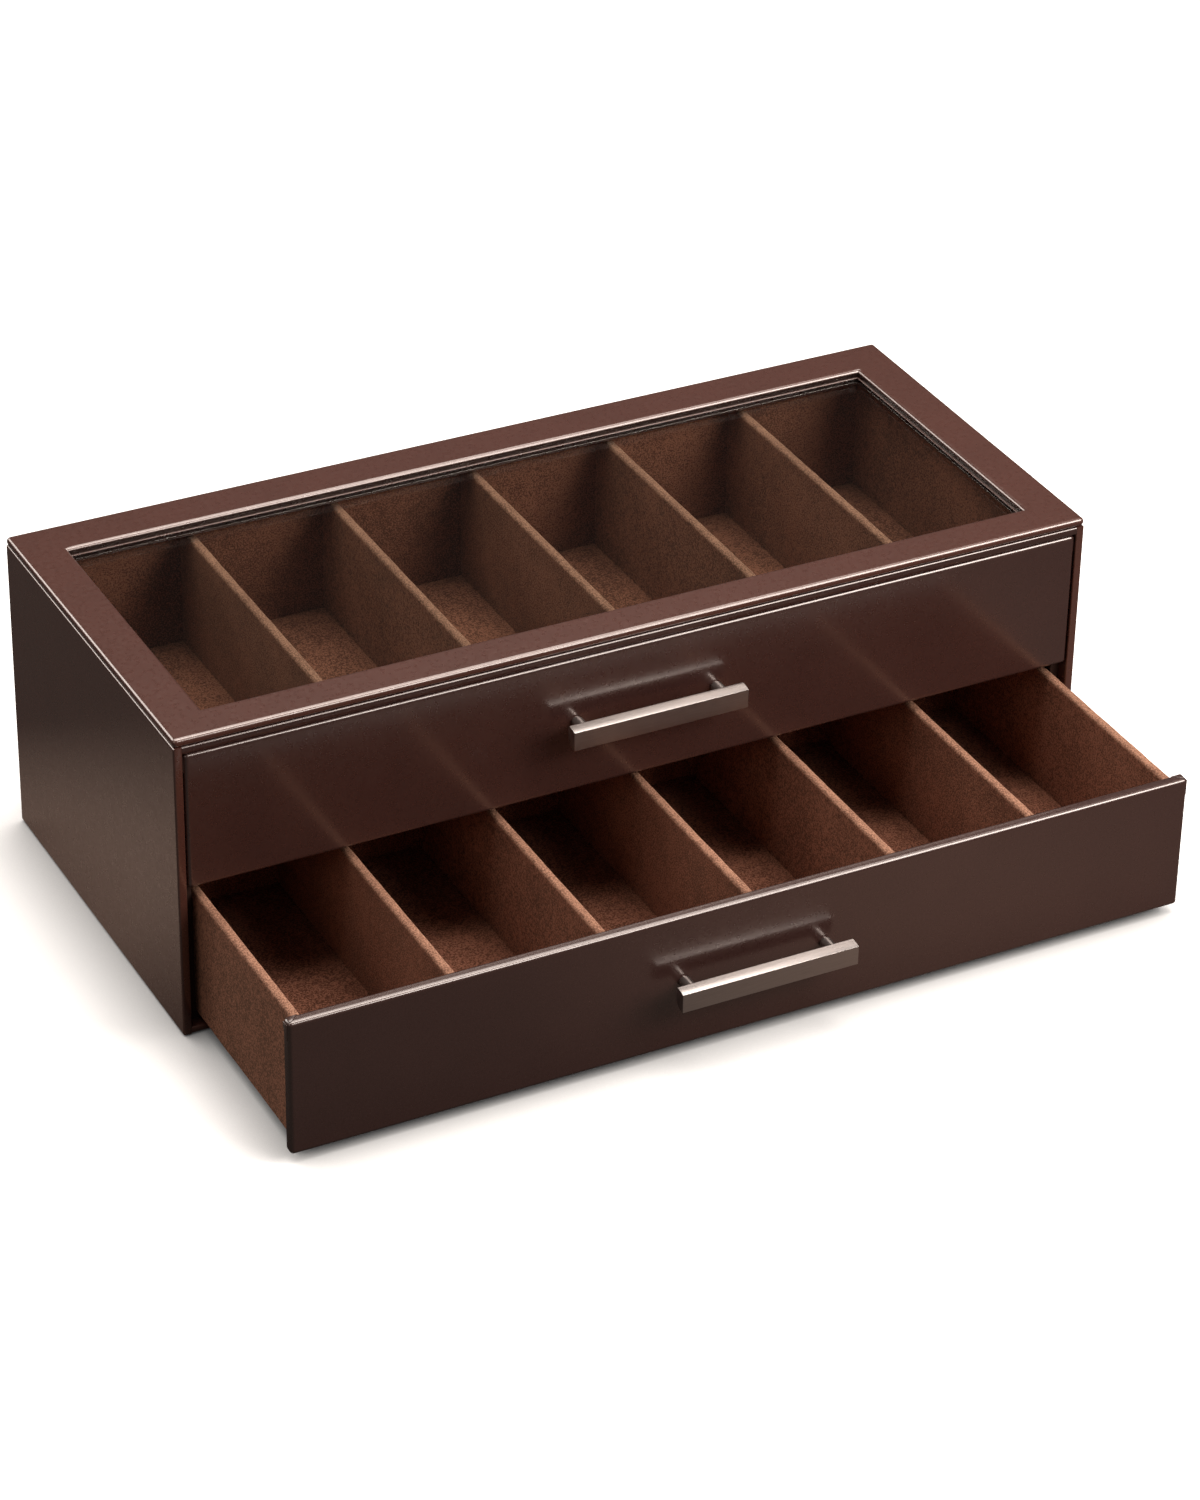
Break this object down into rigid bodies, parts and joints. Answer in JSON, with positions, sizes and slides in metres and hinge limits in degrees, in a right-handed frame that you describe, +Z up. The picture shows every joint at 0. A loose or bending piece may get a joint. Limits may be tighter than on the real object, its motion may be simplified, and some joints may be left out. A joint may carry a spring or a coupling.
{
  "type": "sunglasses storage box",
  "caption": "Low storage box in dark brown leatherette with a glass window on top and suede-lined slotted drawers, one above the other, each with a metal bar handle.",
  "frame": {"origin": "centre of the underside of the case, on the surface it stands on", "axes": "+X to the right along the drawer fronts, +Y to the back, +Z up; the drawers open towards -Y"},
  "size_m": [0.445, 0.312, 0.15],
  "materials": {
    "case_wrap": "fine-grained dark brown leatherette over board, low sheen",
    "top_wrap": "fine-grained brown leatherette over board, low sheen",
    "front_wrap": "fine-grained dark brown leatherette over board, low sheen",
    "inner_wrap": "plain dark wrapped board inside the case, matt",
    "suede": "tan-brown suede cloth over board, napped",
    "felt": "dark felt",
    "glass": "clear polished",
    "brushed_nickel": "brushed nickel, satin",
    "screw_steel": "zinc-plated"
  },
  "bodies": {
    "case": {"left_side_panel": "case_wrap", "right_side_panel": "case_wrap", "back_panel": "case_wrap", "bottom_panel": "case_wrap", "base_felt": "felt", "rail_frame": "case_wrap", "glass_pane": "glass", "top_frame": "top_wrap", "floor_liner": "inner_wrap", "middle_shelf": "inner_wrap", "lower_left_guide": "inner_wrap", "lower_right_guide": "inner_wrap", "upper_left_guide": "inner_wrap", "upper_right_guide": "inner_wrap"},
    "upper_drawer": {"upper_front": "front_wrap", "upper_left_wall": "suede", "upper_right_wall": "suede", "upper_back_wall": "suede", "upper_floor": "suede", "upper_divider_1": "suede", "upper_divider_2": "suede", "upper_divider_3": "suede", "upper_divider_4": "suede", "upper_divider_5": "suede", "upper_handle_bar": "brushed_nickel", "upper_left_handle_post": "brushed_nickel", "upper_right_handle_post": "brushed_nickel", "upper_handle_screws": "screw_steel"},
    "lower_drawer": {"lower_front": "front_wrap", "lower_left_wall": "suede", "lower_right_wall": "suede", "lower_back_wall": "suede", "lower_floor": "suede", "lower_divider_1": "suede", "lower_divider_2": "suede", "lower_divider_3": "suede", "lower_divider_4": "suede", "lower_divider_5": "suede", "lower_handle_bar": "brushed_nickel", "lower_left_handle_post": "brushed_nickel", "lower_right_handle_post": "brushed_nickel", "lower_handle_screws": "screw_steel"}
  },
  "joints": [
    {"name": "upper_drawer_slide", "type": "slide", "parent": "case", "child": "upper_drawer", "axis": [0, -1, 0], "range_m": [0, 0.14]},
    {"name": "lower_drawer_slide", "type": "slide", "parent": "case", "child": "lower_drawer", "axis": [0, -1, 0], "range_m": [-0.104, 0.036]}
  ]
}
